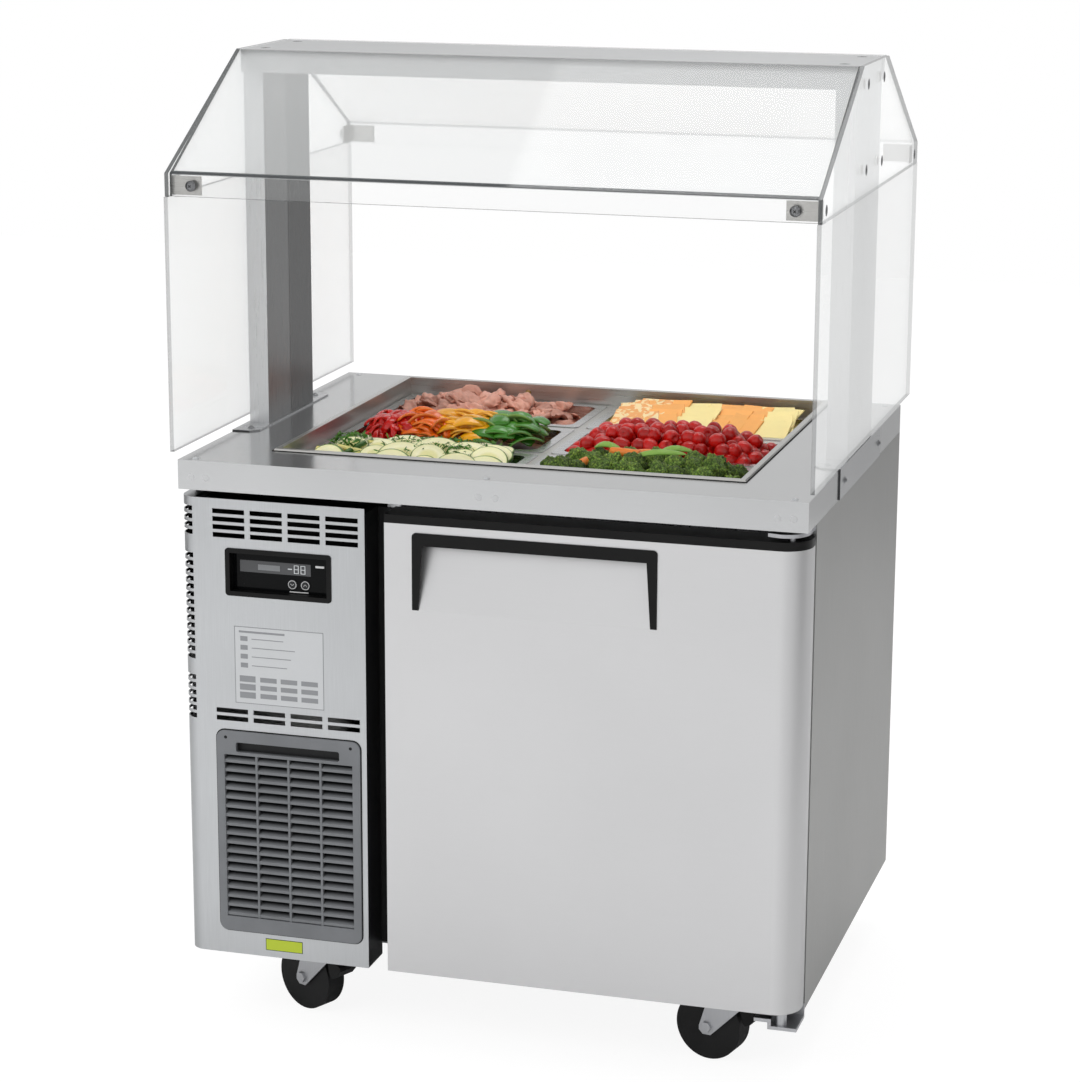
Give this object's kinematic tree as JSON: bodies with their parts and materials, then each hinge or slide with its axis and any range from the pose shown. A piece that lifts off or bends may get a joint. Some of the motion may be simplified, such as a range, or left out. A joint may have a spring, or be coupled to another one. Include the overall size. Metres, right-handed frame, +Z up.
{
  "type": "mobile refrigerated salad bar",
  "caption": "Stainless refrigerated counter on swivel casters with a hinged door, a slotted machine panel, sunken food pans and a clear two-sided food guard on posts.",
  "frame": {"origin": "on the floor, under the middle of the food guard", "axes": "+Z up, the door and the control face -Y, +X to the right seen from the front"},
  "size_m": [0.9166, 0.736, 1.388],
  "materials": {
    "stainless_satin": "brushed, satin",
    "stainless_panel": "brushed",
    "stainless_pan": "polished",
    "zinc": "zinc plated",
    "black_steel": "black, satin",
    "foam": "foamed",
    "black_plastic": "moulded, matt",
    "grey_plastic": "moulded, matt",
    "light_plastic": "moulded",
    "smoked_lens": "gloss",
    "rubber": "matt",
    "clear_glass": "clear",
    "aluminium": "fins",
    "coated_wire": "coated"
  },
  "bodies": {
    "cabinet": {"worktop": "stainless_satin", "pan_well": "stainless_satin", "pan_grid": "stainless_satin", "insulation_foam": "foam", "inner_liner": "stainless_satin", "side_panel_right": "stainless_satin", "side_panel_left": "stainless_satin", "rear_panel": "stainless_satin", "rear_vent_cover": "stainless_satin", "base_pan": "zinc", "front_frame": "stainless_satin", "machine_front_panel": "stainless_panel", "panel_bracket": "black_steel", "control_box": "black_plastic", "display_lens": "smoked_lens", "condenser_coil": "aluminium", "fan_shroud": "aluminium", "compressor": "black_steel", "hinge_upper": "stainless_satin", "hinge_lower": "stainless_satin", "wire_shelf": "coated_wire", "shelf_supports": "stainless_satin", "evaporator_cover": "light_plastic", "evaporator_coil": "aluminium", "guard_posts": "stainless_satin", "base_angles": "stainless_satin", "guard_beam": "stainless_satin", "front_glass": "clear_glass", "rear_glass": "clear_glass", "end_glass_left": "clear_glass", "end_glass_right": "clear_glass", "side_glass": "clear_glass", "guard_hardware": "stainless_satin", "caster_plates": "zinc"},
    "door": {"door_skin": "stainless_satin", "door_inner_panel": "light_plastic", "door_gasket": "rubber", "door_handle": "black_plastic", "door_end_caps": "black_plastic"},
    "button_down_key": {"button_down": "smoked_lens"},
    "button_up_key": {"button_up": "smoked_lens"},
    "grille": {"intake_grille": "grey_plastic"},
    "condenser_rotor": {"condenser_fan": "black_plastic"},
    "evaporator_rotor": {"evaporator_fan": "light_plastic"},
    "pan_front_left_body": {"pan_front_left": "stainless_pan"},
    "pan_front_right_body": {"pan_front_right": "stainless_pan"},
    "pan_middle_left_body": {"pan_middle_left": "stainless_pan"},
    "pan_middle_right_body": {"pan_middle_right": "stainless_pan"},
    "pan_rear_left_body": {"pan_rear_left": "stainless_pan"},
    "pan_rear_right_body": {"pan_rear_right": "stainless_pan"},
    "swivel_front_left": {"caster_front_left_fork": "zinc"},
    "roller_front_left": {"caster_front_left_wheel": "rubber"},
    "swivel_front_right": {"caster_front_right_fork": "zinc"},
    "roller_front_right": {"caster_front_right_wheel": "rubber"},
    "swivel_rear_left": {"caster_rear_left_fork": "zinc"},
    "roller_rear_left": {"caster_rear_left_wheel": "rubber"},
    "swivel_rear_right": {"caster_rear_right_fork": "zinc"},
    "roller_rear_right": {"caster_rear_right_wheel": "rubber"},
    "pedal_front_left": {"caster_front_left_brake": "black_plastic"},
    "pedal_front_right": {"caster_front_right_brake": "black_plastic"}
  },
  "joints": [
    {"name": "door_hinge", "type": "hinge", "parent": "cabinet", "child": "door", "pos_m": [0.426, -0.346, 0.445], "axis": [0, 0, 1], "range_deg": [0, 110]},
    {"name": "button_down_press", "type": "slide", "parent": "cabinet", "child": "button_down_key", "axis": [0, 1, 0], "range_m": [0, 0.0015], "stiffness_N_per_m": 400, "springref_m": -0.0005},
    {"name": "button_up_press", "type": "slide", "parent": "cabinet", "child": "button_up_key", "axis": [0, 1, 0], "range_m": [0, 0.0015], "stiffness_N_per_m": 400, "springref_m": -0.0005},
    {"name": "grille_pull", "type": "slide", "parent": "cabinet", "child": "grille", "axis": [0, -1, 0], "range_m": [0, 0.06]},
    {"name": "condenser_fan_spin", "type": "hinge", "parent": "cabinet", "child": "condenser_rotor", "pos_m": [-0.305, -0.24, 0.278], "axis": [0, 1, 0], "continuous": true},
    {"name": "evaporator_fan_spin", "type": "hinge", "parent": "cabinet", "child": "evaporator_rotor", "pos_m": [-0.07, 0.035, 0.5768], "axis": [1, 0, 0], "continuous": true},
    {"name": "pan_front_left_lift", "type": "slide", "parent": "cabinet", "child": "pan_front_left_body", "axis": [0, 0, 1], "range_m": [0, 0.2]},
    {"name": "pan_front_right_lift", "type": "slide", "parent": "cabinet", "child": "pan_front_right_body", "axis": [0, 0, 1], "range_m": [0, 0.2]},
    {"name": "pan_middle_left_lift", "type": "slide", "parent": "cabinet", "child": "pan_middle_left_body", "axis": [0, 0, 1], "range_m": [0, 0.2]},
    {"name": "pan_middle_right_lift", "type": "slide", "parent": "cabinet", "child": "pan_middle_right_body", "axis": [0, 0, 1], "range_m": [0, 0.2]},
    {"name": "pan_rear_left_lift", "type": "slide", "parent": "cabinet", "child": "pan_rear_left_body", "axis": [0, 0, 1], "range_m": [0, 0.2]},
    {"name": "pan_rear_right_lift", "type": "slide", "parent": "cabinet", "child": "pan_rear_right_body", "axis": [0, 0, 1], "range_m": [0, 0.2]},
    {"name": "swivel_front_left_turn", "type": "hinge", "parent": "cabinet", "child": "swivel_front_left", "pos_m": [-0.271, -0.274, 0.1157], "axis": [0, 0, 1], "continuous": true},
    {"name": "wheel_front_left_spin", "type": "hinge", "parent": "swivel_front_left", "child": "roller_front_left", "pos_m": [-0.29819, -0.26132, 0.05], "axis": [0.4226, 0.9063, 0], "continuous": true},
    {"name": "swivel_front_right_turn", "type": "hinge", "parent": "cabinet", "child": "swivel_front_right", "pos_m": [0.341, -0.274, 0.1157], "axis": [0, 0, 1], "continuous": true},
    {"name": "wheel_front_right_spin", "type": "hinge", "parent": "swivel_front_right", "child": "roller_front_right", "pos_m": [0.31177, -0.26725, 0.05], "axis": [0.225, 0.9744, 0], "continuous": true},
    {"name": "swivel_rear_left_turn", "type": "hinge", "parent": "cabinet", "child": "swivel_rear_left", "pos_m": [-0.271, 0.25, 0.1157], "axis": [0, 0, 1], "continuous": true},
    {"name": "wheel_rear_left_spin", "type": "hinge", "parent": "swivel_rear_left", "child": "roller_rear_left", "pos_m": [-0.24281, 0.23974, 0.05], "axis": [-0.342, -0.9397, 0], "continuous": true},
    {"name": "swivel_rear_right_turn", "type": "hinge", "parent": "cabinet", "child": "swivel_rear_right", "pos_m": [0.341, 0.25, 0.1157], "axis": [0, 0, 1], "continuous": true},
    {"name": "wheel_rear_right_spin", "type": "hinge", "parent": "swivel_rear_right", "child": "roller_rear_right", "pos_m": [0.37089, 0.24738, 0.05], "axis": [-0.0872, -0.9962, 0], "continuous": true},
    {"name": "pedal_front_left_press", "type": "hinge", "parent": "swivel_front_left", "child": "pedal_front_left", "pos_m": [-0.25831, -0.27992, 0.092], "axis": [0.4226, 0.9063, 0], "range_deg": [0, 9]},
    {"name": "pedal_front_right_press", "type": "hinge", "parent": "swivel_front_right", "child": "pedal_front_right", "pos_m": [0.35464, -0.27715, 0.092], "axis": [0.225, 0.9744, 0], "range_deg": [0, 9]}
  ]
}
